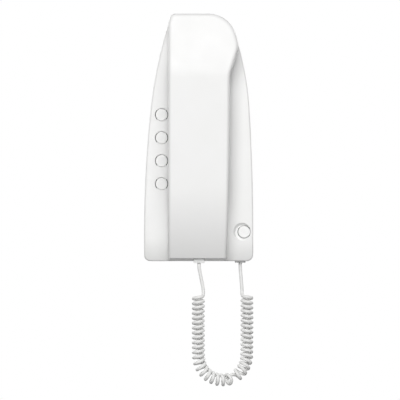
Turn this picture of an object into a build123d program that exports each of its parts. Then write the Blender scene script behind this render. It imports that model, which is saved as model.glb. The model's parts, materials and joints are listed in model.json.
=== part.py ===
from build123d import *
from math import asin, cos, degrees, dist, pi, radians, sin, sqrt, tan
import os

# Audio intercom station: a wall base with four call buttons and a door button,
# a handset lying on the base, and a curly cord between the two.
# Millimetres. X runs to the right, Y into the wall and Z up. The wall is the plane Y = 0,
# so the depth of a place is its distance in front of the wall, along -Y.

# Clearances and cuts
overrun = 2.0             # how far a cut runs past the face that it opens
seat_gap = 0.3            # between pieces that rest on each other and can part
slide_gap = 0.4           # round a piece that slides in a hole

# A face counts as a front or back face when its normal has this share along Y
facing_share = 0.7

# Base
body_width = 97.4
body_height = 220.0
shoulder_depth = 28.0     # wall to the front of the cover
mould_wall = 2.2          # wall of each moulded shell
cover_edge_radius = 1.6
top_left_radius = 4.4
top_right_radius = 25.0
bottom_right_radius = 5.8
bottom_left_radius = 5.4
foot_curve_radius = 50.0  # the cover's front bends back towards its lower end
foot_curve_rise = 20.0    # height of that bend

# Places on the outline, as shares of half the width and half the height
straight_top_share = -0.764
bend_height_share = 0.226
left_bend_share = -0.881
right_bend_share = 0.934
top_left_share = -0.499
top_right_share = 0.54

# Finger channel behind the grip
channel_depth = 22.0      # wall to the channel's floor
channel_insets = (4.7, 1.5)  # from the handset's left and right edges to the channel's sides
channel_end_room = 1.0    # from the handset's throats to the channel's ends
channel_radius = 6.0

# Handset, seen from the front: places as shares of half the width and half the height
handset_left_top_share = -0.556
handset_left_bottom_share = -0.558
handset_right_bottom_share = 0.503
cheek_share = (0.565, 0.498)      # where the edge starts to widen towards the ear
cheek_end_share = (0.8, 0.821)
cheek_radius = 30.0
cheek_corner_radius = 22.0
heel_corner_radius = 4.6
stock_length = 9.0        # stock past the heel, cut off after the long edges are rounded

# Handset, seen from the side; the heights of its bends are shares of half the height
grip_front_depth = 60.0
ear_front_depth = 51.9
grip_back_depth = 38.0
brow_height_share = 0.536
brow_radius = 60.0
chin_height_share = -0.418
heel_rise = 3.0           # the end face leans by this height from its back edge to its front edge
heel_room = 1.7           # from the cord's socket to the inside of the heel's front
throat_height_share = 0.491
throat_length = 12.0      # height of the slope from the grip's back to the ear and mouth ends
throat_radius = 8.0
front_edge_radius = 3.2
back_edge_radius = 2.0

# Joint of the two shells: how far it lies in front of the grip's back and of the ear's and heel's backs
parting_grip_rise = 8.5
parting_ear_rise = 11.7
parting_heel_rise = 5.3

# Ear and mouth caps, which sit in wells of the cover
lift_tilt = 20.0          # the caps and wells rise by this angle towards the front
well_depth = 20.5         # wall to the floor of each well
ear_radius = 18.0
ear_column_share = 0.062
ear_end_room = 6.0        # from the ear cap to the top of the body
mouth_radius = 15.0
mouth_column_share = -0.021
mouth_end_room = 12.0     # from the mouth cap to the foot of the body
cap_wall = 1.8
sound_hole = 2.0
sound_pitch = 4.2
ear_rings = 3
mouth_rings = 2

# Buttons
button_hole = 11.8
button_diameter = 10.7
button_pitch = 20.55
button_count = 4
button_column_share = -0.68
button_top_row_share = 0.188
button_recess = 0.9
button_travel = 1.5
button_edge_radius = 0.7
ear_width = 8.0           # the two ears that keep a button behind the cover
ear_reach = 1.2
ear_thickness = 1.2
button_post = 4.0
door_side_distance = 8.1  # from the door button's middle to the side of the body
door_foot_distance = 26.1
scoop_radius = 7.8        # of its rim
scoop_shift = (-2.0, 0.3) # from the door button's middle to the rim's
scoop_floor_radius = 6.9
scoop_floor_shift = (-1.1, -0.8)  # from the door button's middle to the floor's
scoop_depth = 2.6
scoop_direction = 120.0   # the side on which the scoop is deepest, in degrees from +X
scoop_slope = 32.0        # how far its wall leans outwards, in degrees

# Wall plate
plate_thickness = 2.0
wall_screw_diameter = 4.5
wall_screw_spacing = 60.0
wall_box_column_share = 0.349
wall_box_height = -4.0
cable_entry_width = 24.0
cable_entry_height = 20.0
post_diameter = 6.0
post_height = 6.0
post_inset = 4.0
lug_width = 10.0
lug_depth = 10.0
lug_height = 7.0
lug_column_share = -0.616
cover_screw_diameter = 2.9
cover_screw_head = 5.0
cover_screw_length = 9.0
hook_column_shares = (-0.308, 0.062)
hook_width = 8.0
hook_thickness = 2.0
hook_bite = 2.5           # height of a hook's tip
catch_length = 5.0
catch_thickness = 1.8

# Circuit board: a column under the call buttons and a row along the bottom
board_thickness = 1.6
board_left_margin = 5.3   # from the middle of the call buttons
board_right_margin = 13.1
board_top_margin = 10.8
board_side_room = 1.0     # from the inside of the cover
board_foot_distance = 12.0
board_row_top_share = -0.436
board_corner_radius = 1.5
board_screw_diameter = 2.5
board_screw_head = 4.6
board_screw_head_height = 1.6
board_screw_length = 4.5  # into the post
switch_size = 6.0
switch_height = 4.3
switch_floor = 0.6
stem_diameter = 3.4
stem_stand = 1.7          # how far a stem stands out of its switch

# Shares of a screw head's diameter or height that its cross slot takes
slot_length_share = 0.6
slot_width_share = 0.16
slot_depth_share = 0.55

# Hook contact
plunger_shift = (-8.5, -1.0)  # from the middle of the mouth cap
plunger_diameter = 5.0
plunger_travel = 3.0
plunger_flange = 0.7
plunger_flange_diameter = 7.0
hook_switch_width = 12.0
hook_switch_height = 7.0
hook_switch_lid = 0.8
spring_wire = 0.4
spring_turns = 3

# Terminals, sounder and the parts on the board
terminal_pitch = 5.0
terminal_count = 4
terminal_block_height = 8.0
terminal_block_width = 9.0
terminal_column_share = 0.185
terminal_drop = 9.0       # below the top of the board's row
terminal_screw = 3.0
terminal_screw_length = 3.5
terminal_mouth = 2.6
sounder_diameter = 30.0
sounder_height = 9.0
sounder_shift = (-2.0, -18.0)  # from the middle of the ear cap
sounder_ring_wall = 1.6
sounder_ring_height = 4.0
sounder_cone = 18.0
sounder_cone_depth = 1.6
sounder_cone_taper = 45.0
sounder_edge_radius = 0.8
chip_drop = 13.0          # below the top of the board's row
chip_width = 6.4
chip_length = 19.0
chip_height = 3.4
capacitor_diameter = 6.3
capacitor_height = 7.0
capacitor_side = 14.2     # from the cord's socket, towards the middle
capacitor_rises = (4.9, 13.9)  # above the door button's row

# Plugs and sockets of the cord
plug_width = 9.6
plug_thickness = 6.6
plug_length = 12.5
plug_reach = 1.5          # how far a plug stands out below the body
plug_chamfer = 0.5
plug_lower_chamfer = 0.3
socket_wall = 1.4
socket_length = 13.0
handset_plug_column = 0.3
handset_plug_rise = 7.9   # in front of the handset's back
base_plug_side_distance = 11.5

# Inside the handset
gasket_thickness = 1.0
gasket_width = 3.5
receiver_diameter = 28.0
receiver_height = 8.0
receiver_magnet = 15.0
receiver_magnet_height = 3.0
microphone_diameter = 9.7
microphone_height = 6.5
boot_wall = 2.0
weight_width = 34.0
weight_end_room = 10.5    # from the screw bosses
weight_thickness = 5.0
weight_chamfer = 1.2
shell_screw_drop = 8.0    # from the throats towards the middle
shell_screw_diameter = 2.9
shell_screw_head = 5.4
shell_screw_head_height = 1.8
shell_screw_room = 1.7    # from a screw's tip to the front wall
boss_wall = 2.0

# Cord: its diameter, the radius of its coil and the depth at which each end leaves
cord_diameter = 3.0
coil_radius = 4.35        # coil axis to the middle of the cord
coil_turns_down = 20.85   # turns from the handset to the place where the coil reverses
coil_turns_up = 16.85     # turns from there to the base
run_turns = 12.7          # turns of each of the two straight runs
run_share = 0.323         # share of the coil's axis that each straight run takes
reversal_share = 0.555    # where the coil reverses, as a share of its axis
tail_radius = 4.5         # bend from a straight tail into the coil
tail_run = 5.0
turn_radius = 30.0        # slight bends where the coil's pitch changes

# Hairpin by which the coil reverses: its radius, and how far its two legs lie from its middle
hairpin_radius = 5.1
hairpin_top = 6.2        # at its top
hairpin_waist = 3.5       # lower, where the legs come together
hairpin_waist_share = 0.6  # how far down that is, as a share of a turn
hairpin_waist_radius = 10.0
hairpin_foot = 9.2        # a turn and a radius lower, beside the hairpin itself
parallel_limit = 1e-10    # directions closer than this count as parallel
coil_route = [
    (-0.2, -36.0, -136.0),
    (-0.4, -35.9, -160.0),
    (-0.2, -35.0, -182.0),
    (-0.2, -33.2, -203.3),
    (12.5, -28.6, -216.0),
    (30.4, -22.4, -216.0),
    (43.1, -17.6, -203.3),
    (43.1, -15.4, -182.0),
    (43.3, -14.6, -160.0),
    (43.1, -14.5, -136.0),
]
coil_route_radii = [40.0, 40.0, 21.0, 21.0, 21.0, 21.0, 40.0, 40.0]

# Sizes and places that follow from these
half_width = body_width / 2
half_height = body_height / 2
inner_top = half_height - mould_wall
lift_direction = Vector(0, -cos(radians(lift_tilt)), sin(radians(lift_tilt)))
handset_back_depth = shoulder_depth + seat_gap
cap_depth = well_depth + seat_gap
brow_height = brow_height_share * half_height
chin_height = chin_height_share * half_height
throat_height = throat_height_share * half_height
parting_depth = grip_back_depth + parting_grip_rise
parting_ear_depth = handset_back_depth + parting_ear_rise
parting_heel_depth = handset_back_depth + parting_heel_rise
ear_place = (ear_column_share * half_width, half_height - ear_radius - ear_end_room)
mouth_place = (mouth_column_share * half_width, mouth_radius + mouth_end_room - half_height)
button_column = button_column_share * half_width
button_top_row = button_top_row_share * half_height
door_place = (half_width - door_side_distance, door_foot_distance - half_height)
scoop_place = (door_place[0] + scoop_shift[0], door_place[1] + scoop_shift[1])
scoop_floor_place = (door_place[0] + scoop_floor_shift[0], door_place[1] + scoop_floor_shift[1])
wall_box_place = (wall_box_column_share * half_width, wall_box_height)
lug_column = lug_column_share * half_width
hook_columns = [share * half_width for share in hook_column_shares]
board_back = plate_thickness + post_height
board_front = board_back + board_thickness
switch_front = board_front + switch_height
stem_front = switch_front + stem_stand
stem_back = board_front + switch_floor + seat_gap + button_travel
board_left = button_column - board_left_margin
board_column_right = button_column + board_right_margin
board_right = half_width - mould_wall - board_side_room
board_top = button_top_row + board_top_margin
board_row_top = board_row_top_share * half_height
board_bottom = board_foot_distance - half_height
socket_width = plug_width + 2 * socket_wall
socket_thickness = plug_thickness + 2 * socket_wall
base_plug_column = half_width - base_plug_side_distance
base_plug_place = (base_plug_column, board_front + socket_thickness / 2)
handset_plug_place = (handset_plug_column, handset_back_depth + handset_plug_rise)
plunger_place = (mouth_place[0] + plunger_shift[0], mouth_place[1] + plunger_shift[1])
terminal_place = (terminal_column_share * half_width, board_row_top - terminal_drop)
sounder_place = (ear_place[0] + sounder_shift[0], ear_place[1] + sounder_shift[1])
chip_place = (board_column_right, board_row_top - chip_drop)
capacitor_places = [
    (base_plug_column - capacitor_side, door_place[1] + rise) for rise in capacitor_rises
]
call_places = [(button_column, button_top_row - row * button_pitch) for row in range(button_count)]
board_posts = [
    (board_left + post_inset, board_top - post_inset),
    (board_left + post_inset, board_bottom + post_inset),
    (base_plug_column - socket_width, board_bottom + post_inset),
    (board_right - post_inset, board_row_top - post_inset),
]

# A plane in which x is the depth in front of the wall and y is the height
side_plane = Plane(origin=(0, 0, 0), x_dir=(0, -1, 0), z_dir=(-1, 0, 0))


def front_plane(depth):
    """The plane parallel to the wall at a depth; extruding from it goes towards the front."""
    return Plane.XZ.offset(depth)


def floor_plane(height):
    """The level plane at a height; in it y is minus the depth."""
    return Plane.XY.offset(height)


def slid(place, depth):
    """Where the centre of a cap or well lies at a depth, as it runs along the lift direction."""
    return (place[0], place[1] + (depth - handset_back_depth) * tan(radians(lift_tilt)))


def slanted(rise):
    """Length along the lift direction that covers a change of depth."""
    return rise / cos(radians(lift_tilt))


def inset(sketch, distance):
    """A sketch's face, drawn in by a distance."""
    return offset(sketch.sketch_local.face(), amount=-distance, mode=Mode.PRIVATE)


def rim_edges(faces):
    """The edges round a patch of faces, without those between two of its faces."""
    edges = [edge for face in faces for edge in face.edges()]
    return ShapeList(edge for edge in edges if sum(edge.is_same(other) for other in edges) == 1)


def save(piece, label):
    """Write a finished piece to its own file."""
    piece.part.label = label
    export_step(piece.part, "parts/" + label + ".step")


os.makedirs("parts", exist_ok=True)

# Outline of the base, seen from the front, with its upper right corner rounded
with BuildSketch() as crown_outline:
    with BuildLine():
        foot = Line((-half_width, -half_height), (half_width, -half_height))
        right_foot = Line(foot @ 1, (half_width, straight_top_share * half_height))
        right_bend = (right_bend_share * half_width, bend_height_share * half_height)
        right_side = TangentArc(right_foot @ 1, right_bend, tangent=right_foot % 1)
        right_crown = (top_right_share * half_width, half_height)
        right_brow = TangentArc(right_side @ 1, right_crown, tangent=right_side % 1)
        left_foot = Line(foot @ 0, (-half_width, straight_top_share * half_height))
        left_bend = (left_bend_share * half_width, bend_height_share * half_height)
        left_side = TangentArc(left_foot @ 1, left_bend, tangent=left_foot % 1)
        left_crown = (top_left_share * half_width, half_height)
        left_brow = TangentArc(left_side @ 1, left_crown, tangent=left_side % 1)
        Line(left_brow @ 1, right_brow @ 1)
    make_face()
    fillet(crown_outline.vertices().group_by(Axis.Y)[-1].sort_by(Axis.X)[-1], top_right_radius)

# The same outline with its other corners rounded
with BuildSketch() as body_outline:
    add(crown_outline.sketch_local)
    fillet(body_outline.vertices().group_by(Axis.Y)[-1].sort_by(Axis.X)[0], top_left_radius)
    fillet(body_outline.vertices().group_by(Axis.Y)[0].sort_by(Axis.X)[0], bottom_left_radius)
    fillet(body_outline.vertices().group_by(Axis.Y)[0].sort_by(Axis.X)[-1], bottom_right_radius)

# Depth profile of the cover: flat, then bent back towards its lower end
foot_curve_start = foot_curve_rise - half_height
foot_drop = foot_curve_radius - sqrt(foot_curve_radius**2 - foot_curve_rise**2)
with BuildSketch(side_plane) as cover_profile:
    with BuildLine():
        front = Line((shoulder_depth, half_height), (shoulder_depth, foot_curve_start))
        bend = TangentArc(front @ 1, (shoulder_depth - foot_drop, -half_height), tangent=front % 1)
        Polyline(front @ 0, (0, half_height), (0, -half_height), bend @ 1)
    make_face()
with BuildSketch(side_plane) as cover_hollow_profile:
    add(inset(cover_profile, mould_wall))
    Rectangle(2 * mould_wall, 2 * inner_top)

# Space inside the cover, open towards the wall
with BuildPart() as cover_hollow:
    with BuildSketch(front_plane(0)):
        add(inset(body_outline, mould_wall))
    extrude(amount=shoulder_depth)
    extrude(cover_hollow_profile.sketch, amount=half_width, both=True, mode=Mode.INTERSECT)

wells = [(ear_place, ear_radius + slide_gap), (mouth_place, mouth_radius + slide_gap)]
mid_wall_depth = shoulder_depth - mould_wall / 2
channel_left = handset_left_top_share * half_width + channel_insets[0]
channel_right = cheek_share[0] * half_width - channel_insets[1]
channel_width = channel_right - channel_left
channel_height = 2 * (throat_height + channel_end_room)
channel_centre = ((channel_right + channel_left) / 2, 0)
scoop_tilt = asin(scoop_depth / (2 * scoop_floor_radius))
scoop_floor_depth = shoulder_depth - scoop_depth
lug_screw_depth = plate_thickness + lug_depth / 2

# Front cover of the base
with BuildPart() as front_cover:
    with BuildSketch(front_plane(0)):
        add(body_outline.sketch_local)
    extrude(amount=shoulder_depth)
    extrude(cover_profile.sketch, amount=half_width, both=True, mode=Mode.INTERSECT)
    front_faces = front_cover.faces().filter_by(lambda face: face.normal_at().Y < -facing_share)
    fillet(rim_edges(front_faces), cover_edge_radius)
    add(cover_hollow.part, mode=Mode.SUBTRACT)

    # Finger channel behind the grip
    with BuildSketch(front_plane(channel_depth - mould_wall)):
        with Locations(channel_centre):
            RectangleRounded(
                channel_width + 2 * mould_wall,
                channel_height + 2 * mould_wall,
                channel_radius + mould_wall,
            )
    extrude(amount=mid_wall_depth - channel_depth + mould_wall)
    with BuildSketch(front_plane(channel_depth)):
        with Locations(channel_centre):
            RectangleRounded(channel_width, channel_height, channel_radius)
    extrude(amount=shoulder_depth - channel_depth + overrun, mode=Mode.SUBTRACT)

    # Wells for the ear and mouth caps, slanted along the lift direction
    for place, radius in wells:
        with BuildSketch(front_plane(well_depth - mould_wall)):
            with Locations(slid(place, well_depth - mould_wall)):
                Circle(radius + mould_wall)
        extrude(amount=slanted(mid_wall_depth - well_depth + mould_wall), dir=lift_direction)
    for place, radius in wells:
        with BuildSketch(front_plane(well_depth)):
            with Locations(slid(place, well_depth)):
                Circle(radius)
        rise = slanted(shoulder_depth - well_depth + overrun)
        extrude(amount=rise, dir=lift_direction, mode=Mode.SUBTRACT)

    # Thumb scoop round the door button
    with BuildSketch(front_plane(scoop_floor_depth - mould_wall)):
        with Locations(scoop_place):
            Circle(scoop_radius + mould_wall / 2)
    extrude(amount=mid_wall_depth - scoop_floor_depth + mould_wall)
    scoop_plane = Plane(
        origin=(scoop_floor_place[0], scoop_depth / 2 - shoulder_depth, scoop_floor_place[1]),
        z_dir=(
            cos(radians(scoop_direction)) * sin(scoop_tilt),
            -cos(scoop_tilt),
            sin(radians(scoop_direction)) * sin(scoop_tilt),
        ),
    )
    with BuildSketch(scoop_plane):
        Circle(scoop_floor_radius)
    extrude(amount=scoop_depth + overrun, taper=-scoop_slope, mode=Mode.SUBTRACT)

    # Holes for the buttons, the hook plunger, the cord's plug and the cover screw
    with BuildSketch(front_plane(0)):
        with Locations(*call_places, door_place):
            Circle(button_hole / 2)
    extrude(amount=shoulder_depth + overrun, mode=Mode.SUBTRACT)
    with BuildSketch(front_plane(0)):
        with Locations(plunger_place):
            Circle(plunger_diameter / 2 + slide_gap)
    extrude(amount=shoulder_depth, mode=Mode.SUBTRACT)
    with BuildSketch(floor_plane(-half_height - overrun)):
        with Locations((base_plug_place[0], -base_plug_place[1])):
            Rectangle(plug_width + 2 * seat_gap, plug_thickness + 2 * seat_gap)
    extrude(amount=mould_wall + 2 * overrun, mode=Mode.SUBTRACT)
    screw_entry = Plane(origin=(lug_column, -lug_screw_depth, -half_height), z_dir=(0, 0, -1))
    with Locations(screw_entry):
        CounterSinkHole(
            radius=(cover_screw_diameter + seat_gap) / 2,
            counter_sink_radius=(cover_screw_head + seat_gap) / 2,
            depth=mould_wall + overrun,
        )

    # Catches at the top, which sit behind the tips of the wall plate's hooks
    with BuildSketch(front_plane(plate_thickness + seat_gap)):
        with Locations(*[(column, inner_top - catch_length / 2) for column in hook_columns]):
            Rectangle(hook_width, catch_length + mould_wall)
    extrude(amount=catch_thickness)
save(front_cover, "front_cover")

# Wall plate, with posts for the board, a ring for the sounder, hooks and a lug for the cover
plate_bottom = mould_wall + slide_gap - half_height
wall_screws = [
    (wall_box_place[0], wall_box_place[1] - wall_screw_spacing / 2),
    (wall_box_place[0], wall_box_place[1] + wall_screw_spacing / 2),
]
hook_arm_height = inner_top - catch_length - mould_wall / 2 - seat_gap
hook_tip_depth = plate_thickness + 2 * seat_gap + catch_thickness
with BuildPart() as wall_plate:
    with BuildSketch(front_plane(0)):
        add(inset(body_outline, mould_wall + slide_gap))
        with Locations(wall_box_place):
            Rectangle(cable_entry_width, cable_entry_height, mode=Mode.SUBTRACT)
        with Locations(*wall_screws):
            Circle(wall_screw_diameter / 2, mode=Mode.SUBTRACT)
    extrude(amount=plate_thickness)
    with BuildSketch(front_plane(plate_thickness)):
        with Locations(*board_posts):
            Circle(post_diameter / 2)
    extrude(amount=post_height)
    with BuildSketch(front_plane(board_back - board_screw_length)):
        with Locations(*board_posts):
            Circle(board_screw_diameter / 2)
    extrude(amount=board_screw_length + overrun, mode=Mode.SUBTRACT)
    with BuildSketch(front_plane(plate_thickness)):
        with Locations(sounder_place):
            Circle(sounder_diameter / 2 + sounder_ring_wall)
            Circle(sounder_diameter / 2, mode=Mode.SUBTRACT)
    extrude(amount=sounder_ring_height)
    with BuildSketch(front_plane(plate_thickness)):
        with Locations((lug_column, plate_bottom + lug_height / 2)):
            Rectangle(lug_width, lug_height)
    extrude(amount=lug_depth)
    with BuildSketch(floor_plane(plate_bottom - overrun)):
        with Locations((lug_column, -lug_screw_depth)):
            Circle(cover_screw_diameter / 2)
    extrude(amount=lug_height + 2 * overrun, mode=Mode.SUBTRACT)
    with BuildSketch(front_plane(plate_thickness)):
        with Locations(*[(column, hook_arm_height - hook_thickness / 2) for column in hook_columns]):
            Rectangle(hook_width, hook_thickness)
    extrude(amount=hook_tip_depth + hook_thickness - plate_thickness)
    with BuildSketch(front_plane(hook_tip_depth)):
        with Locations(*[(column, hook_arm_height + hook_bite / 2) for column in hook_columns]):
            Rectangle(hook_width, hook_bite)
    extrude(amount=hook_thickness)
save(wall_plate, "wall_plate")

# Countersunk screw that holds the cover to the lug, from below
with BuildPart() as cover_screw:
    with BuildSketch(front_plane(lug_screw_depth)):
        with BuildLine():
            shank_edge = lug_column + cover_screw_diameter / 2
            head_height = (cover_screw_head - cover_screw_diameter) / 2
            Polyline(
                (lug_column, -half_height),
                (lug_column + cover_screw_head / 2, -half_height),
                (shank_edge, head_height - half_height),
                (shank_edge, cover_screw_length - half_height),
                (lug_column, cover_screw_length - half_height),
                close=True,
            )
        make_face()
    revolve(axis=Axis((lug_column, -lug_screw_depth, 0), (0, 0, 1)))
    with BuildSketch(floor_plane(-half_height)):
        with Locations((lug_column, -lug_screw_depth)):
            Rectangle(cover_screw_head * slot_length_share, cover_screw_head * slot_width_share)
            Rectangle(cover_screw_head * slot_width_share, cover_screw_head * slot_length_share)
    extrude(amount=head_height * slot_depth_share, mode=Mode.SUBTRACT)
save(cover_screw, "cover_screw")

# Circuit board
with BuildPart() as circuit_board:
    with BuildSketch(front_plane(board_back)) as board_outline:
        with BuildLine():
            Polyline(
                (board_left, board_bottom),
                (board_right, board_bottom),
                (board_right, board_row_top),
                (board_column_right, board_row_top),
                (board_column_right, board_top),
                (board_left, board_top),
                close=True,
            )
        make_face()
        fillet(board_outline.vertices(), board_corner_radius)
        with Locations(*board_posts):
            Circle(board_screw_diameter / 2, mode=Mode.SUBTRACT)
    extrude(amount=board_thickness)
save(circuit_board, "circuit_board")

# Pan head screws of the board, as a group
with BuildPart() as board_screws:
    with BuildSketch(front_plane(board_front)):
        with Locations(*board_posts):
            Circle(board_screw_head / 2)
    extrude(amount=board_screw_head_height)
    with BuildSketch(front_plane(board_front)):
        with Locations(*board_posts):
            Circle(board_screw_diameter / 2)
    extrude(amount=-board_thickness - board_screw_length)
    with BuildSketch(front_plane(board_front + board_screw_head_height)):
        with Locations(*board_posts):
            Rectangle(board_screw_head * slot_length_share, board_screw_head * slot_width_share)
            Rectangle(board_screw_head * slot_width_share, board_screw_head * slot_length_share)
    extrude(amount=-board_screw_head_height * slot_depth_share, mode=Mode.SUBTRACT)
save(board_screws, "board_screws")


def save_switches(label, places):
    """Switch housings on the board, each with a bore for its stem."""
    with BuildPart() as switches:
        with BuildSketch(front_plane(board_front)):
            with Locations(*places):
                Rectangle(switch_size, switch_size)
        extrude(amount=switch_height)
        with BuildSketch(front_plane(board_front + switch_floor)):
            with Locations(*places):
                Circle(stem_diameter / 2 + slide_gap / 2)
        extrude(amount=switch_height, mode=Mode.SUBTRACT)
    save(switches, label)


def save_stem(label, place):
    """The moving stem of a switch."""
    with BuildPart() as stem:
        with BuildSketch(front_plane(stem_front)):
            with Locations(place):
                Circle(stem_diameter / 2)
        extrude(amount=stem_back - stem_front)
    save(stem, label)


def save_button(label, place, ear_depth):
    """A button: its cap, two ears behind the cover and a post down to the switch's stem."""
    cap_front = shoulder_depth - button_recess
    with BuildPart() as button:
        with BuildSketch(front_plane(ear_depth)):
            with Locations(place):
                Circle(button_diameter / 2)
                Rectangle(ear_width, button_hole + 2 * ear_reach)
        extrude(amount=ear_thickness)
        with BuildSketch(front_plane(ear_depth)):
            with Locations(place):
                Circle(button_diameter / 2)
        extrude(amount=cap_front - ear_depth)
        cap_face = button.faces().sort_by(Axis.Y)[0]
        fillet(cap_face.edges(), button_edge_radius)
        with BuildSketch(front_plane(stem_front)):
            with Locations(place):
                Circle(button_post / 2)
        extrude(amount=ear_depth - stem_front)
    save(button, label)


save_switches("call_switches", call_places)
save_switches("door_switch", [door_place])
call_ear_depth = shoulder_depth - mould_wall - seat_gap - ear_thickness
door_ear_depth = scoop_floor_depth - mould_wall - seat_gap - ear_thickness
for number, place in enumerate(call_places, start=1):
    save_button(f"call_button_{number}", place, call_ear_depth)
    save_stem(f"call_stem_{number}", place)
save_button("door_button", door_place, door_ear_depth)
save_stem("door_stem", door_place)

# Housing of the hook contact, closed at the back by the board
flange_front = board_front + hook_switch_height - hook_switch_lid - plunger_travel - seat_gap
with BuildPart() as hook_switch:
    with BuildSketch(front_plane(board_front)):
        with Locations(plunger_place):
            Rectangle(hook_switch_width, hook_switch_width)
    extrude(amount=hook_switch_height)
    with BuildSketch(front_plane(board_front)):
        with Locations(plunger_place):
            Circle(plunger_flange_diameter / 2 + slide_gap)
    extrude(amount=hook_switch_height - hook_switch_lid, mode=Mode.SUBTRACT)
    with BuildSketch(front_plane(board_front)):
        with Locations(plunger_place):
            Circle((plunger_diameter + slide_gap) / 2)
    extrude(amount=hook_switch_height, mode=Mode.SUBTRACT)
save(hook_switch, "hook_switch")

# Plunger that the handset presses down when it lies on the base
with BuildPart() as hook_plunger:
    with BuildSketch(front_plane(flange_front - plunger_flange)):
        with Locations(plunger_place):
            Circle(plunger_flange_diameter / 2)
    extrude(amount=plunger_flange)
    with BuildSketch(front_plane(flange_front)):
        with Locations(plunger_place):
            Circle(plunger_diameter / 2)
    extrude(amount=well_depth - flange_front)
    plunger_tip = hook_plunger.faces().sort_by(Axis.Y)[0]
    fillet(plunger_tip.edges(), button_edge_radius)
save(hook_plunger, "hook_plunger")

# Spring under the plunger's flange
spring_length = flange_front - plunger_flange - board_front - spring_wire
with BuildPart() as hook_spring:
    with BuildLine() as spring_line:
        Helix(
            pitch=spring_length / spring_turns,
            height=spring_length,
            radius=(plunger_diameter - spring_wire) / 2,
            center=(plunger_place[0], -board_front - spring_wire / 2, plunger_place[1]),
            direction=(0, -1, 0),
        )
    with BuildSketch(Plane(origin=spring_line.line @ 0, z_dir=spring_line.line % 0)):
        Circle(spring_wire / 2)
    sweep()
save(hook_spring, "hook_spring")

# Terminal block, with a wire mouth below each screw
terminal_front = board_front + terminal_block_height
first_terminal = terminal_place[0] - terminal_pitch * (terminal_count - 1) / 2
terminal_places = [
    (first_terminal + number * terminal_pitch, terminal_place[1]) for number in range(terminal_count)
]
with BuildPart() as terminal_block:
    with BuildSketch(front_plane(board_front)):
        with Locations(terminal_place):
            Rectangle(terminal_pitch * terminal_count, terminal_block_width)
    extrude(amount=terminal_block_height)
    with BuildSketch(front_plane(terminal_front - terminal_screw_length)):
        with Locations(*terminal_places):
            Circle(terminal_screw / 2)
    extrude(amount=terminal_screw_length, mode=Mode.SUBTRACT)
    mouth_depth = board_front + terminal_mouth
    with BuildSketch(floor_plane(terminal_place[1])):
        with Locations(*[(column, -mouth_depth) for column, row in terminal_places]):
            Circle(terminal_mouth / 2)
    extrude(amount=terminal_block_width, mode=Mode.SUBTRACT)
save(terminal_block, "terminal_block")

# Terminal screws, as a group
screw_front = terminal_front - terminal_screw_length * (1 - slot_depth_share)
with BuildPart() as terminal_screws:
    with BuildSketch(front_plane(terminal_front - terminal_screw_length)):
        with Locations(*terminal_places):
            Circle(terminal_screw / 2)
    extrude(amount=terminal_screw_length * slot_depth_share)
    with BuildSketch(front_plane(screw_front)):
        with Locations(*terminal_places):
            Rectangle(terminal_screw, terminal_screw * slot_width_share)
    extrude(amount=-terminal_screw * slot_depth_share / 2, mode=Mode.SUBTRACT)
save(terminal_screws, "terminal_screws")

# Sounder on the wall plate
with BuildPart() as call_sounder:
    with BuildSketch(front_plane(plate_thickness)):
        with Locations(sounder_place):
            Circle(sounder_diameter / 2)
    extrude(amount=sounder_height)
    sounder_rim = call_sounder.faces().sort_by(Axis.Y)[0].edges()
    fillet(sounder_rim, sounder_edge_radius)
    with BuildSketch(front_plane(plate_thickness + sounder_height)):
        with Locations(sounder_place):
            Circle(sounder_cone / 2)
    extrude(amount=-sounder_cone_depth, taper=sounder_cone_taper, mode=Mode.SUBTRACT)
save(call_sounder, "call_sounder")

# Chip and capacitors on the board, as a group
with BuildPart() as board_components:
    with BuildSketch(front_plane(board_front)):
        with Locations(chip_place):
            Rectangle(chip_width, chip_length)
    extrude(amount=chip_height)
    with BuildSketch(front_plane(board_front)):
        with Locations(*capacitor_places):
            Circle(capacitor_diameter / 2)
    extrude(amount=capacitor_height)
save(board_components, "board_components")


def save_socket(label, place, bottom, top):
    """A socket, open at the bottom for a plug at a place given as column and depth."""
    centre = (place[0], -place[1])
    with BuildPart() as socket:
        with BuildSketch(floor_plane(bottom)):
            with Locations(centre):
                Rectangle(socket_width, socket_thickness)
        extrude(amount=top - bottom)
        with BuildSketch(floor_plane(bottom)):
            with Locations(centre):
                Rectangle(plug_width + seat_gap, plug_thickness + seat_gap)
        extrude(amount=plug_length + seat_gap - plug_reach, mode=Mode.SUBTRACT)
    save(socket, label)


def save_plug(label, place):
    """A flat modular plug that stands out a little below the body."""
    bottom = -half_height - plug_reach
    with BuildPart() as plug:
        with BuildSketch(floor_plane(bottom)):
            with Locations((place[0], -place[1])):
                Rectangle(plug_width, plug_thickness)
        extrude(amount=plug_length)
        chamfer(plug.edges().filter_by(Axis.Z), plug_chamfer)
        lower_edges = plug.faces().sort_by(Axis.Z)[0].edges()
        chamfer(lower_edges, plug_lower_chamfer)
    save(plug, label)


base_socket_bottom = seat_gap - inner_top
save_socket("base_socket", base_plug_place, base_socket_bottom, base_socket_bottom + socket_length)
save_plug("base_plug", base_plug_place)
save_plug("handset_plug", handset_plug_place)

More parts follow.
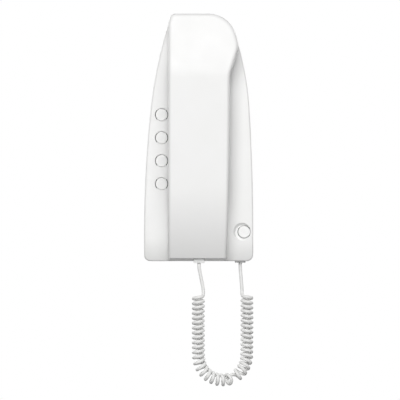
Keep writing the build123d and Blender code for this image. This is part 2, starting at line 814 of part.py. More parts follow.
# Handset seen from the front, with stock past its lower end
stock_bottom = -half_height - stock_length
cheek = (cheek_share[0] * half_width, cheek_share[1] * half_height)
cheek_end = (cheek_end_share[0] * half_width, cheek_end_share[1] * half_height)
left_top = handset_left_top_share * half_width
left_bottom = handset_left_bottom_share * half_width
right_bottom = handset_right_bottom_share * half_width
left_slope = (left_bottom - left_top) / body_height
with BuildSketch() as stock_outline:
    add(crown_outline.sketch_local)
    with Locations((0, -half_height)):
        Rectangle(cheek[0] - left_bottom, 2 * stock_length)
    with BuildLine():
        left_edge = Line(
            (left_bottom + left_slope * stock_length, stock_bottom),
            (left_top, half_height),
        )
        grip_edge = TangentArc(cheek, (right_bottom, stock_bottom), tangent=(0, -1))
        Line(cheek, cheek_end)
        Polyline(cheek_end, (half_width, cheek_end[1]), (half_width, half_height), left_edge @ 1)
        Line(left_edge @ 0, grip_edge @ 1)
    make_face(mode=Mode.INTERSECT)
    cheek_corners = stock_outline.vertices().filter_by(lambda corner: corner.X > 0)
    fillet(cheek_corners.sort_by_distance(cheek)[0], cheek_radius)
    top_corners = stock_outline.vertices().group_by(Axis.Y)[-1].sort_by(Axis.X)
    fillet(top_corners[0], top_left_radius)
    outer_corner = stock_outline.vertices().sort_by(Axis.X)[-1]
    fillet(outer_corner, cheek_corner_radius)

# The same outline cut to length, with the corners of the heel rounded
with BuildSketch() as handset_outline:
    add(stock_outline.sketch_local)
    Rectangle(body_width, body_height, mode=Mode.INTERSECT)
    heel_corners = handset_outline.vertices().group_by(Axis.Y)[0]
    fillet(heel_corners, heel_corner_radius)


# The chin's arc leaves the grip's front and ends at the heel, in front of the cord's socket
heel_height = heel_rise - half_height
heel_front_depth = handset_plug_place[1] + socket_thickness / 2 + heel_room + mould_wall
chin_drop = grip_front_depth - heel_front_depth
chin_radius = ((chin_height - heel_height) ** 2 + chin_drop**2) / (2 * chin_drop)


def draw_handset_side(heel_front, heel_back):
    """The handset seen from the side, down to the heights of its heel's front and back edges."""
    chin_turn = degrees(asin((chin_height - heel_front) / chin_radius))
    heel_run = foot_curve_start - heel_back
    heel_depth = handset_back_depth - foot_curve_radius + sqrt(foot_curve_radius**2 - heel_run**2)
    throat_end = throat_height + throat_length
    with BuildSketch(side_plane) as side:
        with BuildLine():
            Line((grip_front_depth, brow_height), (grip_front_depth, chin_height))
            chin = JernArc((grip_front_depth, chin_height), (0, -1), chin_radius, -chin_turn)
            heel_curve = TangentArc(
                (handset_back_depth, foot_curve_start), (heel_depth, heel_back), tangent=(0, -1)
            )
            Line(chin @ 1, heel_curve @ 1)
            Polyline(
                (handset_back_depth, foot_curve_start),
                (handset_back_depth, -throat_end),
                (grip_back_depth, -throat_height),
                (grip_back_depth, throat_height),
                (handset_back_depth, throat_end),
                (handset_back_depth, half_height),
                (ear_front_depth, half_height),
                (grip_front_depth, brow_height),
            )
        make_face()
        fillet(side.vertices().sort_by_distance((grip_front_depth, brow_height))[0], brow_radius)
        for height in (throat_height, -throat_height):
            fillet(side.vertices().sort_by_distance((grip_back_depth, height))[0], throat_radius)
        for height in (throat_end, -throat_end):
            fillet(side.vertices().sort_by_distance((handset_back_depth, height))[0], throat_radius)
    return side


stock_side = draw_handset_side(stock_bottom, stock_bottom)
handset_side = draw_handset_side(heel_height, -half_height)

# Handset as one closed body, before it is hollowed and split
with BuildPart() as handset_body:
    with BuildSketch(front_plane(0)):
        add(stock_outline.sketch_local)
    extrude(amount=grip_front_depth)
    extrude(stock_side.sketch, amount=half_width, both=True, mode=Mode.INTERSECT)
    front_rim = rim_edges(handset_body.faces().filter_by(lambda face: face.normal_at().Y < -facing_share))
    fillet(front_rim.filter_by(lambda edge: edge.center().Z > stock_bottom + overrun), front_edge_radius)
    back_rim = rim_edges(handset_body.faces().filter_by(lambda face: face.normal_at().Y > facing_share))
    fillet(back_rim.filter_by(lambda edge: edge.center().Z > stock_bottom + overrun), back_edge_radius)
    extrude(handset_side.sketch, amount=half_width, both=True, mode=Mode.INTERSECT)
    with BuildSketch(front_plane(0)):
        add(handset_outline.sketch_local)
    extrude(amount=grip_front_depth, mode=Mode.INTERSECT)

# Space inside the handset
with BuildPart() as handset_hollow:
    with BuildSketch(front_plane(0)):
        add(inset(handset_outline, mould_wall))
    extrude(amount=grip_front_depth)
    with BuildSketch(side_plane):
        add(inset(handset_side, mould_wall))
    extrude(amount=half_width, both=True, mode=Mode.INTERSECT)

# Everything in front of the joint between the two shells
with BuildPart() as front_region:
    with BuildSketch(side_plane):
        with BuildLine():
            Polyline(
                (parting_heel_depth, -half_height - overrun),
                (parting_depth, -throat_height),
                (parting_depth, throat_height),
                (parting_ear_depth, half_height + overrun),
                (grip_front_depth + overrun, half_height + overrun),
                (grip_front_depth + overrun, -half_height - overrun),
                close=True,
            )
        make_face()
    extrude(amount=half_width, both=True)

shell_screw_height = throat_height - shell_screw_drop
screw_places = [(0, shell_screw_height), (0, -shell_screw_height)]
boss_radius = shell_screw_diameter / 2 + boss_wall
head_seat_depth = grip_back_depth + shell_screw_head_height + seat_gap
shell_screw_length = grip_front_depth - mould_wall - shell_screw_room - head_seat_depth
plug_hole_width = plug_width + 2 * seat_gap
plug_hole_thickness = plug_thickness + 2 * seat_gap
plug_hole_centre = (handset_plug_place[0], -handset_plug_place[1])

# Front shell of the handset, with the bosses that take the screws
with BuildPart() as handset_front_shell:
    add(handset_body.part)
    add(handset_hollow.part, mode=Mode.SUBTRACT)
    with BuildSketch(front_plane(parting_depth)):
        with Locations(*screw_places):
            Circle(boss_radius)
    extrude(amount=grip_front_depth - mould_wall / 2 - parting_depth)
    with BuildSketch(front_plane(parting_depth)):
        with Locations(*screw_places):
            Circle(shell_screw_diameter / 2)
    extrude(amount=head_seat_depth + shell_screw_length - parting_depth, mode=Mode.SUBTRACT)
    with BuildSketch(floor_plane(-half_height - overrun)):
        with Locations(plug_hole_centre):
            Rectangle(plug_hole_width, plug_hole_thickness)
    extrude(amount=plug_length, mode=Mode.SUBTRACT)
    add(front_region.part, mode=Mode.INTERSECT)
save(handset_front_shell, "handset_front_shell")


def ring_places(centre, rings):
    """Places of sound holes: one in the middle and a ring of six more for each step outwards."""
    places = [centre]
    for ring in range(1, rings):
        for step in range(6 * ring):
            angle = 2 * pi * step / (6 * ring)
            radius = ring * sound_pitch
            places.append((centre[0] + radius * cos(angle), centre[1] + radius * sin(angle)))
    return places


cap_root_depth = handset_back_depth + mould_wall
caps = [(ear_place, ear_radius, ear_rings), (mouth_place, mouth_radius, mouth_rings)]

# Back shell of the handset, with the ear and mouth caps
with BuildPart() as handset_back_shell:
    add(handset_body.part)
    add(handset_hollow.part, mode=Mode.SUBTRACT)
    for place, radius, rings in caps:
        with BuildSketch(front_plane(cap_depth)):
            with Locations(slid(place, cap_depth)):
                Circle(radius)
        rise = slanted(handset_back_depth + mould_wall / 2 - cap_depth)
        extrude(amount=rise, dir=lift_direction)
    with BuildSketch(front_plane(grip_back_depth + mould_wall / 2)):
        with Locations(*screw_places):
            Circle(max(boss_radius, shell_screw_head / 2 + boss_wall))
    extrude(amount=parting_depth - grip_back_depth - mould_wall / 2)
    for place, radius, rings in caps:
        with BuildSketch(front_plane(cap_depth + cap_wall)):
            with Locations(slid(place, cap_depth + cap_wall)):
                Circle(radius - cap_wall)
        rise = slanted(cap_root_depth - cap_depth - cap_wall)
        extrude(amount=rise, dir=lift_direction, mode=Mode.SUBTRACT)
        with BuildSketch(front_plane(cap_depth - overrun)):
            with Locations(*ring_places(slid(place, cap_depth), rings)):
                Circle(sound_hole / 2)
        extrude(amount=cap_wall + 2 * overrun, mode=Mode.SUBTRACT)
    with BuildSketch(front_plane(0)):
        with Locations(*screw_places):
            Circle(shell_screw_diameter / 2)
    extrude(amount=grip_front_depth, mode=Mode.SUBTRACT)
    with BuildSketch(front_plane(0)):
        with Locations(*screw_places):
            Circle(shell_screw_head / 2 + seat_gap)
    extrude(amount=head_seat_depth, mode=Mode.SUBTRACT)
    with BuildSketch(floor_plane(-half_height - overrun)):
        with Locations(plug_hole_centre):
            Rectangle(plug_hole_width, plug_hole_thickness)
    extrude(amount=plug_length, mode=Mode.SUBTRACT)
    add(front_region.part, mode=Mode.SUBTRACT)
save(handset_back_shell, "handset_back_shell")

# Screws that hold the two shells together, as a group
with BuildPart() as handset_screws:
    with BuildSketch(front_plane(head_seat_depth)):
        with Locations(*screw_places):
            Circle(shell_screw_head / 2)
    extrude(amount=-shell_screw_head_height)
    with BuildSketch(front_plane(head_seat_depth)):
        with Locations(*screw_places):
            Circle(shell_screw_diameter / 2)
    extrude(amount=shell_screw_length)
    with BuildSketch(front_plane(head_seat_depth - shell_screw_head_height)):
        with Locations(*screw_places):
            Rectangle(shell_screw_head * slot_length_share, shell_screw_head * slot_width_share)
            Rectangle(shell_screw_head * slot_width_share, shell_screw_head * slot_length_share)
    extrude(amount=shell_screw_head_height * slot_depth_share, mode=Mode.SUBTRACT)
save(handset_screws, "handset_screws")

# Receiver in the ear cap, on its gasket
gasket_depth = cap_depth + cap_wall
receiver_depth = gasket_depth + gasket_thickness
receiver_centre = slid(ear_place, receiver_depth + receiver_height / 2)
with BuildPart() as receiver_gasket:
    with BuildSketch(front_plane(gasket_depth)):
        with Locations(receiver_centre):
            Circle(receiver_diameter / 2)
            Circle(receiver_diameter / 2 - gasket_width, mode=Mode.SUBTRACT)
    extrude(amount=gasket_thickness)
save(receiver_gasket, "receiver_gasket")
with BuildPart() as receiver:
    with BuildSketch(front_plane(receiver_depth)):
        with Locations(receiver_centre):
            Circle(receiver_diameter / 2)
    extrude(amount=receiver_height - receiver_magnet_height)
    with BuildSketch(front_plane(receiver_depth)):
        with Locations(receiver_centre):
            Circle(receiver_magnet / 2)
    extrude(amount=receiver_height)
save(receiver, "receiver")

# Microphone in the mouth cap, in a rubber boot
microphone_centre = slid(mouth_place, gasket_depth + microphone_height / 2)
with BuildPart() as microphone_boot:
    with BuildSketch(front_plane(gasket_depth)):
        with Locations(microphone_centre):
            Circle(microphone_diameter / 2 + boot_wall)
            Circle(microphone_diameter / 2, mode=Mode.SUBTRACT)
    extrude(amount=microphone_height)
save(microphone_boot, "microphone_boot")
with BuildPart() as microphone:
    with BuildSketch(front_plane(gasket_depth)):
        with Locations(microphone_centre):
            Circle(microphone_diameter / 2)
    extrude(amount=microphone_height)
save(microphone, "microphone")

# Steel weight on the inside of the grip's front
with BuildPart() as handset_weight:
    with BuildSketch(front_plane(grip_front_depth - mould_wall - weight_thickness)):
        Rectangle(weight_width, 2 * (shell_screw_height - boss_radius - weight_end_room))
    extrude(amount=weight_thickness)
    chamfer(handset_weight.edges().filter_by(Axis.Y), weight_chamfer)
save(handset_weight, "handset_weight")

# Socket for the cord's plug in the lower end of the handset
handset_socket_bottom = -half_height + mould_wall + heel_rise
save_socket(
    "handset_socket",
    handset_plug_place,
    handset_socket_bottom,
    handset_socket_bottom + socket_length,
)


def turn_point(start, corner, end, radius):
    """Where a rounded corner of a flat path starts and ends, and the angle that it turns."""
    into = (corner - start).normalized()
    out = (end - corner).normalized()
    turn = radians(into.get_angle(out))
    back = radius * tan(turn / 2)
    return corner - into * back, corner + out * back, into, out, turn


def unrolled_stations(points, radii):
    """Points and directions along a flat path with rounded corners, a half turn of coil apart."""
    half_turn = pi * coil_radius
    stations = []
    cursor = points[0]
    for start, corner, end, radius in zip(points, points[1:], points[2:], radii):
        arc_start, arc_end, into, out, turn = turn_point(start, corner, end, radius)
        steps = max(1, round((arc_start - cursor).length / half_turn))
        for step in range(steps):
            stations.append((cursor + (arc_start - cursor) * (step / steps), into))
        side = 1 if into.cross(out).Z > 0 else -1
        normal = Vector(-into.Y, into.X) * side
        steps = max(2, round(turn / (pi / 6)))
        for step in range(steps):
            angle = turn * step / steps
            point = arc_start + into * (radius * sin(angle)) + normal * (radius * (1 - cos(angle)))
            stations.append((point, into * cos(angle) + normal * sin(angle)))
        cursor = arc_end
    stations.append((cursor, out))
    stations.append((points[-1], out))
    return stations


# Axis of the coil, then the coil itself on a flat sheet that is rolled round this axis:
# x runs along the axis and y round it
with BuildLine() as coil_axis:
    FilletPolyline(*coil_route, radius=coil_route_radii)
axis_wire = coil_axis.wires()[0]
axis_length = axis_wire.length
turn_length = 2 * pi * coil_radius
coil_end_height = (coil_turns_down - coil_turns_up) * turn_length
run_height = run_turns * turn_length
reversal = Vector(axis_length * reversal_share, coil_turns_down * turn_length)
hairpin_legs = [
    (hairpin_foot, turn_length + hairpin_radius, turn_radius),
    (hairpin_waist, turn_length * hairpin_waist_share, hairpin_waist_radius),
    (hairpin_top, 0, hairpin_radius),
]
sheet_points = [
    Vector(0, 0),
    Vector(tail_run, 0),
    Vector(axis_length * run_share, run_height),
    *[reversal - Vector(side, drop) for side, drop, radius in hairpin_legs],
    *[reversal + Vector(side, -drop) for side, drop, radius in reversed(hairpin_legs)],
    Vector(axis_length * (1 - run_share), coil_end_height + run_height),
    Vector(axis_length - tail_run, coil_end_height),
    Vector(axis_length, coil_end_height),
]
hairpin_radii = [radius for side, drop, radius in hairpin_legs]
sheet_radii = [tail_radius, turn_radius, *hairpin_radii, *reversed(hairpin_radii), turn_radius, tail_radius]


def rolled(point):
    """A point of the flat sheet, rolled round the coil's axis."""
    along = min(max(point.X, 0), axis_length)
    centre = axis_wire.position_at(along, position_mode=PositionMode.LENGTH)
    heading = axis_wire.tangent_at(along, position_mode=PositionMode.LENGTH)
    towards_front = Vector(0, -1, 0)
    towards_front = (towards_front - heading * heading.dot(towards_front)).normalized()
    inwards = towards_front.cross(heading)
    phase = point.Y / coil_radius
    return centre + (inwards * cos(phase) + towards_front * sin(phase)) * coil_radius


def rolled_direction(point, direction):
    """The direction of the rolled path at a point of the flat sheet."""
    nudge = direction * (cord_diameter / 1000)
    return (rolled(point + nudge) - rolled(point - nudge)).normalized()


stations = [
    (rolled(point), rolled_direction(point, direction))
    for point, direction in unrolled_stations(sheet_points, sheet_radii)
]
handset_exit = Vector(handset_plug_place[0], -handset_plug_place[1], -half_height - plug_reach)
base_exit = Vector(base_plug_place[0], -base_plug_place[1], -half_height - plug_reach)
down = Vector(0, 0, -1)
stations = [
    (handset_exit, down),
    (handset_exit + down * cord_diameter, down),
    *stations,
    (base_exit + down * cord_diameter, down * -1),
    (base_exit, down * -1),
]


def biarc_middle(start, start_direction, end, end_direction):
    """Where the two arcs that join two stations meet, and their direction there."""
    span = end - start
    both = start_direction + end_direction
    a = 2 * (start_direction.dot(end_direction) - 1)
    b = -2 * span.dot(both)
    c = span.dot(span)
    if abs(a) < parallel_limit:
        reach = -c / b
    else:
        root = sqrt(b * b - 4 * a * c)
        reach = min(x for x in ((-b - root) / (2 * a), (-b + root) / (2 * a)) if x > 0)
    first = start + start_direction * reach
    second = end - end_direction * reach
    return (first + second) / 2, (second - first).normalized()


cord_edges = []
for (start, start_direction), (end, end_direction) in zip(stations, stations[1:]):
    middle, middle_direction = biarc_middle(start, start_direction, end, end_direction)
    for first, last, heading in ((start, middle, start_direction), (middle, end, middle_direction)):
        straight = (last - first).normalized().dot(heading) > 1 - parallel_limit
        if straight:
            cord_edges.append(Edge.make_line(first, last))
        else:
            cord_edges.append(Edge.make_tangent_arc(first, heading, last))

with BuildPart() as curly_cord:
    with BuildLine() as cord_line:
        add(cord_edges)
    cord_path = cord_line.wires()[0]
    with BuildSketch(Plane(origin=handset_exit, z_dir=down)):
        Circle(cord_diameter / 2)
    sweep(path=cord_path)
save(curly_cord, "curly_cord")

# Facts of the cord: its length, its tightest bend and its least gap to itself, where points
# nearer along the cord than near_share diameters are passed over
near_share = 4.7
reach_share = 20
bend_radii = [edge.radius for edge in cord_edges if edge.geom_type == GeomType.CIRCLE]
sample_count = round(cord_path.length / (cord_diameter / 3))
samples = [tuple(cord_path.position_at(step / sample_count)) for step in range(sample_count + 1)]
skip = round(near_share * cord_diameter / (cord_path.length / sample_count))
least_distance = min(
    dist(samples[i], samples[j])
    for i in range(len(samples))
    for j in range(i + skip, min(i + reach_share * skip, len(samples)))
)
expected_volume = pi * (cord_diameter / 2) ** 2 * cord_path.length
print("cord length", round(cord_path.length, 1), "tightest bend", round(min(bend_radii), 2))
print("cord least gap to itself", round(least_distance - cord_diameter, 2))
print("cord volume over section times length", round(curly_cord.part.volume / expected_volume, 4))
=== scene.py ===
import json
from math import cos, pi, sin, tan, tau

import bpy
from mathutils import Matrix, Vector


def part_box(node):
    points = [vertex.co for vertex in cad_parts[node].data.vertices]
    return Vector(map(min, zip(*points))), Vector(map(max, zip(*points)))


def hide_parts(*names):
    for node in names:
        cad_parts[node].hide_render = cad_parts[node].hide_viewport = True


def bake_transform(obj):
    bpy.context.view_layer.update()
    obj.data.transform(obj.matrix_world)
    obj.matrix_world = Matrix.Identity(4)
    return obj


# Audio intercom station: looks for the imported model. Metres, in the model's frame:
# X to the right, Y into the wall, Z up.

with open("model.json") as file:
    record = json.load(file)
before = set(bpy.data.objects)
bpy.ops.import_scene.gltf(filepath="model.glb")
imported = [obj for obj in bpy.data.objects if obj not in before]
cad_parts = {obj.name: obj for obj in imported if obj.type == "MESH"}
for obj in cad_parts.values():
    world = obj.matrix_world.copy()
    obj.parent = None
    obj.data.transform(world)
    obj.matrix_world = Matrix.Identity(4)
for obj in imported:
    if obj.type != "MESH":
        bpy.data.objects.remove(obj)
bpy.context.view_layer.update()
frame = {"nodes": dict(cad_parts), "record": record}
nodes = frame["nodes"]

# Camera: straight at the front, far away with a long lens, as the photograph is taken
photo_pixels = 400
metres_per_pixel = 0.0008925
camera_distance = 4.0
camera_aim = Vector((0.0012, -0.028, -0.0554))
sensor_width = 36.0        # millimetres, as the lens
clip_share = 4             # how far the camera sees, in camera distances

# Each lamp's name, place, width and power in watts
lamps = [
    ("key", Vector((-0.25, -2.0, 0.82)), 1.0, 27.5),
    ("fill", Vector((0.35, -2.1, 0.25)), 1.4, 14.5),
    ("left_back", Vector((-1.5, 1.5, 0.6)), 1.2, 15.0),
    ("right_back", Vector((1.5, 1.5, 0.6)), 1.2, 15.0),
]
world_light = 0.15
white = 1.0               # the world's strength where it is seen
floor_height = -0.262
floor_radius = 0.55
floor_sides = 96
floor_roughness = 0.8
floor_colour = (0.85, 0.85, 0.85, 1)
floor_bounce = (0.15, 0.15, 0.15, 1)  # its colour for the light that it sends up at the object
floor_glow = 0.4          # so that the floor looks pale away from the lamps

# Cord: its sizes, its turns and the axis of its coil
cord_diameter = 0.003
coil_radius = 0.00435     # to the middle of the cord
coil_turns_down = 20.85
coil_turns_up = 16.85
run_turns = 12.7          # of each straight run
run_share = 0.323         # of the coil's axis, for each straight run
reversal_share = 0.555    # of the coil's axis, up to where the turns reverse
tail_run = 0.005          # along the axis before the first turn and after the last
tail_radius = 0.0045      # of the corners between the tails and the turns
tail_reach = 0.4          # how far a tail keeps its first direction, as a share of its length
turn_radius = 0.03        # of the corners where the straight runs end
hairpin_radius = 0.0051   # of the bend at the reversal
hairpin_top = 0.0062      # half the width of the hairpin at its top
hairpin_waist = 0.0035    # half its width where its legs come together
hairpin_waist_share = 0.6 # how far below the top that is, in turns
hairpin_waist_radius = 0.01
hairpin_foot = 0.0092     # half its width where the turns before and after it end
coil_route = [
    (-0.0002, -0.0360, -0.1360),
    (-0.0004, -0.0359, -0.1600),
    (-0.0002, -0.0350, -0.1820),
    (-0.0002, -0.0332, -0.2033),
    (0.0125, -0.0286, -0.2160),
    (0.0304, -0.0224, -0.2160),
    (0.0431, -0.0176, -0.2033),
    (0.0431, -0.0154, -0.1820),
    (0.0433, -0.0146, -0.1600),
    (0.0431, -0.0145, -0.1360),
]
route_resolution = 24     # points of the route's line between two of its control points
sheet_step = 0.0012       # length of cord between two points of its line
least_arc_steps = 4       # for a rounded corner
tail_steps = 16           # for each tail
cord_sides = 16           # of the cord's section
straight_share = 1.0      # straight run at each exit, in cord diameters

# Surfaces: the sizes of their features in metres, and how far they vary
noise_range = (0.3, 0.7)  # where nearly all values of the noise lie
fine_detail = 2.0
shade_size = 0.03
shade_detail = 3.0
shade_tint = (0.985, 0.985, 0.98)
gloss_size = 0.012
gloss_detail = 4.0
gloss_range = (-0.04, 0.05)
grain_size = 0.00035
grain_depth = 0.000006
plastic_ior = 1.5
plastic_specular = 0.25
metal_gloss_size = 0.002
metal_gloss_range = (-0.08, 0.1)
metal_grain_size = 0.0004
metal_grain_depth = 0.000008


def line_points(route):
    """The smooth NURBS line that follows a route, as points."""
    data = bpy.data.curves.new("route", "CURVE")
    data.dimensions = "3D"
    data.resolution_u = route_resolution
    spline = data.splines.new("NURBS")
    spline.points.add(len(route) - 1)
    for target, point in zip(spline.points, route):
        target.co = (*point, 1)
    spline.order_u = 3
    spline.use_endpoint_u = True
    curve = bpy.data.objects.new("route", data)
    bpy.context.scene.collection.objects.link(curve)
    bpy.context.view_layer.update()
    graph = bpy.context.evaluated_depsgraph_get()
    mesh = bpy.data.meshes.new_from_object(curve.evaluated_get(graph))
    line = [vertex.co.copy() for vertex in mesh.vertices]
    bpy.data.meshes.remove(mesh)
    bpy.data.objects.remove(curve)
    return line


class Axis:
    """A line of points that can be read at any distance along it."""

    def __init__(self, points):
        self.points = points
        self.reached = [0.0]
        for first, second in zip(points, points[1:]):
            self.reached.append(self.reached[-1] + (second - first).length)
        self.length = self.reached[-1]

    def tangent(self, index):
        """The direction at a point, from its neighbours."""
        before = self.points[max(index - 1, 0)]
        after = self.points[min(index + 1, len(self.points) - 1)]
        return (after - before).normalized()

    def at(self, distance):
        """The point and the direction at a distance from the start."""
        distance = min(max(distance, 0.0), self.length)
        low = 0
        high = len(self.points) - 1
        while high - low > 1:
            middle = (low + high) // 2
            if self.reached[middle] <= distance:
                low = middle
            else:
                high = middle
        share = (distance - self.reached[low]) / (self.reached[high] - self.reached[low])
        heading = self.tangent(low).lerp(self.tangent(high), share)
        return self.points[low].lerp(self.points[high], share), heading.normalized()


def rounded(corners, radii):
    """A flat path with its inner corners rounded, as points about a sheet step apart."""
    path = [corners[0]]

    def run_to(target):
        start = path[-1]
        steps = max(1, round((target - start).length / sheet_step))
        path.extend(start.lerp(target, step / steps) for step in range(1, steps + 1))

    for before, corner, after, radius in zip(corners, corners[1:], corners[2:], radii):
        into = (corner - before).normalized()
        out = (after - corner).normalized()
        turn = into.angle(out)
        side = 1 if into.x * out.y - into.y * out.x > 0 else -1
        normal = Vector((-into.y, into.x)) * side
        arc_start = corner - into * radius * tan(turn / 2)
        run_to(arc_start)
        steps = max(least_arc_steps, round(radius * turn / sheet_step))
        for step in range(1, steps + 1):
            angle = turn * step / steps
            along = into * radius * sin(angle)
            path.append(arc_start + along + normal * radius * (1 - cos(angle)))
    run_to(corners[-1])
    return path


def hermite(start, start_heading, end, end_heading, steps):
    """A smooth stretch between two places with the given directions, without its two ends."""
    reach = (end - start).length * tail_reach
    points = []
    for step in range(1, steps):
        t = step / steps
        points.append(
            start * (2 * t**3 - 3 * t**2 + 1)
            + start_heading * reach * (t**3 - 2 * t**2 + t)
            + end * (3 * t**2 - 2 * t**3)
            + end_heading * reach * (t**3 - t**2)
        )
    return points


def plug_exit(node):
    """The middle of the lower face of a plug."""
    low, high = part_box(node)
    return Vector(((low.x + high.x) / 2, (low.y + high.y) / 2, low.z))


def cord_line():
    """The whole cord's centreline: a straight exit, the coil with its reversal, a straight exit."""
    axis = Axis(line_points(coil_route))
    turn_length = tau * coil_radius
    run_height = run_turns * turn_length
    end_height = (coil_turns_down - coil_turns_up) * turn_length
    reversal = Vector((axis.length * reversal_share, coil_turns_down * turn_length))
    legs = [
        (hairpin_foot, turn_length + hairpin_radius, turn_radius),
        (hairpin_waist, turn_length * hairpin_waist_share, hairpin_waist_radius),
        (hairpin_top, 0, hairpin_radius),
    ]
    corners = [
        Vector((0, 0)),
        Vector((tail_run, 0)),
        Vector((axis.length * run_share, run_height)),
        *[reversal - Vector((side, drop)) for side, drop, radius in legs],
        *[reversal + Vector((side, -drop)) for side, drop, radius in reversed(legs)],
        Vector((axis.length * (1 - run_share), end_height + run_height)),
        Vector((axis.length - tail_run, end_height)),
        Vector((axis.length, end_height)),
    ]
    leg_radii = [radius for side, drop, radius in legs]
    radii = [tail_radius, turn_radius, *leg_radii, *reversed(leg_radii), turn_radius, tail_radius]
    coil = []
    for place in rounded(corners, radii):
        centre, heading = axis.at(place.x)
        front = Vector((0, -1, 0))
        front = (front - heading * heading.dot(front)).normalized()
        inwards = front.cross(heading)
        phase = place.y / coil_radius
        coil.append(centre + (inwards * cos(phase) + front * sin(phase)) * coil_radius)
    down = Vector((0, 0, -1))
    straight = down * cord_diameter * straight_share
    first_exit = plug_exit("handset_plug")
    last_exit = plug_exit("base_plug")
    coil_in = (coil[1] - coil[0]).normalized()
    coil_out = (coil[-1] - coil[-2]).normalized()
    return [
        first_exit,
        first_exit + straight,
        *hermite(first_exit + straight, down, coil[0], coil_in, tail_steps),
        *coil,
        *hermite(coil[-1], coil_out, last_exit + straight, -down, tail_steps),
        last_exit + straight,
        last_exit,
    ]


def tube(points, radius, sides, name):
    """A closed tube along points, its rings carried along without twist."""
    headings = []
    for index in range(len(points)):
        before = points[max(index - 1, 0)]
        after = points[min(index + 1, len(points) - 1)]
        headings.append((after - before).normalized())
    across = headings[0].orthogonal().normalized()
    verts = []
    for point, heading in zip(points, headings):
        across = (across - heading * heading.dot(across)).normalized()
        other = heading.cross(across)
        for side in range(sides):
            angle = tau * side / sides
            verts.append(point + (across * cos(angle) + other * sin(angle)) * radius)
    faces = []
    for ring in range(len(points) - 1):
        for side in range(sides):
            a = ring * sides + side
            b = ring * sides + (side + 1) % sides
            faces.append((a, b, b + sides, a + sides))
    faces.append(tuple(reversed(range(sides))))
    faces.append(tuple(range((len(points) - 1) * sides, len(points) * sides)))
    mesh = bpy.data.meshes.new(name)
    mesh.from_pydata(verts, [], faces)
    mesh.polygons.foreach_set("use_smooth", [True] * len(faces))
    mesh.update()
    piece = bpy.data.objects.new(name, mesh)
    bpy.context.scene.collection.objects.link(piece)
    return piece


# Camera
camera_data = bpy.data.cameras.new("camera")
camera_data.sensor_width = sensor_width
camera_data.lens = sensor_width * camera_distance / (photo_pixels * metres_per_pixel)
camera_data.clip_end = clip_share * camera_distance
camera = bpy.data.objects.new("camera", camera_data)
camera.location = camera_aim - Vector((0, camera_distance, 0))
camera.rotation_euler = (pi / 2, 0, 0)
bpy.context.scene.collection.objects.link(camera)
bpy.context.scene.camera = camera

# Cord
centreline = cord_line()
cord = tube(centreline, cord_diameter / 2, cord_sides, "coiled_cord")
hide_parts("curly_cord")
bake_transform(cord)


class Shader:
    """A material's node tree with its Principled shader, and short ways to add to it."""

    def __init__(self, name, **values):
        self.material = bpy.data.materials.new(name)
        self.material.use_nodes = True
        self.tree = self.material.node_tree
        self.principled = self.tree.nodes["Principled BSDF"]
        for socket, value in values.items():
            self.principled.inputs[socket.replace("_", " ")].default_value = value
        self.place = self.add("ShaderNodeTexCoord").outputs["Object"]

    def add(self, kind, links=None, **values):
        """A node with its sockets and settings set from values and linked from links."""
        node = self.tree.nodes.new(kind)
        for socket, value in values.items():
            if socket in node.inputs:
                node.inputs[socket].default_value = value
            else:
                setattr(node, socket, value)
        for socket, source in (links or {}).items():
            self.tree.links.new(source, node.inputs[socket])
        return node

    def noise(self, size, detail=fine_detail):
        """Noise whose features are about a size across."""
        node = self.add("ShaderNodeTexNoise", {"Vector": self.place}, Scale=1 / size)
        node.inputs["Detail"].default_value = detail
        return node.outputs["Fac"]

    def spread(self, source, low, high, start=noise_range[0], end=noise_range[1]):
        """A value taken from one range to another."""
        node = self.add("ShaderNodeMapRange", {"Value": source})
        node.inputs["From Min"].default_value = start
        node.inputs["From Max"].default_value = end
        node.inputs["To Min"].default_value = low
        node.inputs["To Max"].default_value = high
        return node.outputs["Result"]

    def blend(self, share, first, second):
        """A mix of two colours by a share."""
        node = self.add("ShaderNodeMix", data_type="RGBA")
        self.tree.links.new(share, node.inputs["Factor"])
        node.inputs["A"].default_value = first
        node.inputs["B"].default_value = second
        return next(out for out in node.outputs if out.type == "RGBA")

    def bump(self, height, depth):
        """Relief of a depth in metres."""
        node = self.add("ShaderNodeBump", {"Height": height}, Distance=depth, Strength=1.0)
        self.set("Normal", node.outputs["Normal"])

    def set(self, socket, source):
        """Link a value to a socket of the shader."""
        self.tree.links.new(source, self.principled.inputs[socket])


def uneven_gloss(shader, size, roughness, spread):
    """Roughness that varies slowly about a value."""
    gloss = shader.noise(size, gloss_detail)
    shader.set("Roughness", shader.spread(gloss, roughness + spread[0], roughness + spread[1]))


def moulded_plastic(name, colour, roughness, depth=grain_depth):
    """Moulded plastic: fine grain, slow unevenness of gloss and a trace of colour variation."""
    shader = Shader(name, Roughness=roughness, IOR=plastic_ior, Specular_IOR_Level=plastic_specular)
    darker = (*(part * tint for part, tint in zip(colour, shade_tint)), 1)
    shade = shader.spread(shader.noise(shade_size, shade_detail), 0, 1)
    shader.set("Base Color", shader.blend(shade, (*colour, 1), darker))
    uneven_gloss(shader, gloss_size, roughness, gloss_range)
    shader.bump(shader.noise(grain_size), depth)
    return shader.material


def metal(name, colour, roughness):
    """Plated metal with faint uneven gloss."""
    shader = Shader(name, Metallic=1.0, Roughness=roughness, Base_Color=(*colour, 1))
    uneven_gloss(shader, metal_gloss_size, roughness, metal_gloss_range)
    shader.bump(shader.noise(metal_grain_size), metal_grain_depth)
    return shader.material


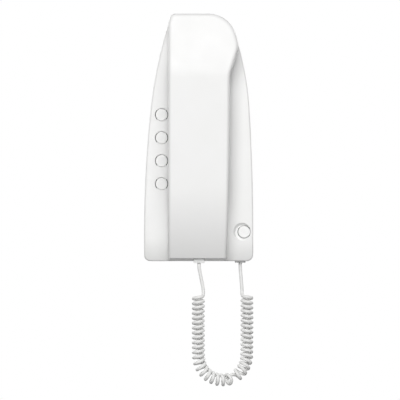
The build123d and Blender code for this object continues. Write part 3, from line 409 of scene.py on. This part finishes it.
materials = {
    "shell_white": moulded_plastic("shell_white", (0.88, 0.88, 0.875), 0.38),
    "button_white": moulded_plastic("button_white", (0.89, 0.89, 0.885), 0.28, depth=0.000003),
    "cord_white": moulded_plastic("cord_white", (0.87, 0.87, 0.862), 0.42, depth=0.000004),
    "plug_white": moulded_plastic("plug_white", (0.86, 0.865, 0.86), 0.2, depth=0.000002),
    "board_green": moulded_plastic("board_green", (0.02, 0.16, 0.06), 0.35),
    "black_plastic": moulded_plastic("black_plastic", (0.025, 0.025, 0.026), 0.45),
    "grey_plastic": moulded_plastic("grey_plastic", (0.35, 0.35, 0.36), 0.45),
    "black_rubber": moulded_plastic("black_rubber", (0.02, 0.02, 0.02), 0.75),
    "steel": metal("steel", (0.62, 0.61, 0.6), 0.3),
    "brass": metal("brass", (0.78, 0.58, 0.27), 0.3),
    "aluminium": metal("aluminium", (0.8, 0.8, 0.81), 0.35),
}

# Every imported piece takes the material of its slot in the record
for entry in frame["record"]["subparts"]:
    data = nodes[entry["node"]].data
    data.materials.clear()
    data.materials.append(materials[entry["material_slot"]])
cord.data.materials.append(materials["cord_white"])


def seen_directly(tree):
    """1 for rays from the camera, in reflections and through clear things, and else 0."""
    rays = tree.nodes.new("ShaderNodeLightPath")
    seen = rays.outputs["Is Camera Ray"]
    for kind in ("Is Glossy Ray", "Is Transmission Ray"):
        either = tree.nodes.new("ShaderNodeMath")
        either.operation = "MAXIMUM"
        tree.links.new(seen, either.inputs[0])
        tree.links.new(rays.outputs[kind], either.inputs[1])
        seen = either.outputs["Value"]
    return seen


# Floor
floor_mesh = bpy.data.meshes.new("floor")
floor_angles = [tau * step / floor_sides for step in range(floor_sides)]
floor_ring = [
    (floor_radius * cos(angle), floor_radius * sin(angle), floor_height)
    for angle in floor_angles
]
floor_mesh.from_pydata(floor_ring, [], [tuple(range(floor_sides))])
floor = bpy.data.objects.new("floor", floor_mesh)
bpy.context.scene.collection.objects.link(floor)
floor_shader = Shader("floor", Roughness=floor_roughness, Emission_Color=(1, 1, 1, 1))
floor_seen = seen_directly(floor_shader.tree)
floor_shader.set("Base Color", floor_shader.blend(floor_seen, floor_bounce, floor_colour))
floor_shader.set("Emission Strength", floor_shader.spread(floor_seen, 0, floor_glow, 0, 1))
floor.data.materials.append(floor_shader.material)

# Lamps: square, aimed at the object
for name, place, size, watts in lamps:
    data = bpy.data.lights.new(name, "AREA")
    data.energy = watts
    data.size = size
    lamp = bpy.data.objects.new(name, data)
    lamp.location = place
    lamp.rotation_mode = "QUATERNION"
    lamp.rotation_quaternion = (camera_aim - place).to_track_quat("-Z", "Y")
    bpy.context.scene.collection.objects.link(lamp)

# World: soft light, seen as white by the camera, in reflections and through clear things
world = bpy.data.worlds.new("studio")
world.use_nodes = True
sky = world.node_tree
background = sky.nodes["Background"]
strength = sky.nodes.new("ShaderNodeMapRange")
strength.inputs["To Min"].default_value = world_light
strength.inputs["To Max"].default_value = white
sky.links.new(seen_directly(sky), strength.inputs["Value"])
sky.links.new(strength.outputs["Result"], background.inputs["Strength"])
background.inputs["Color"].default_value = (white, white, white, 1)
bpy.context.scene.world = world
bpy.context.scene.view_settings.view_transform = "Standard"
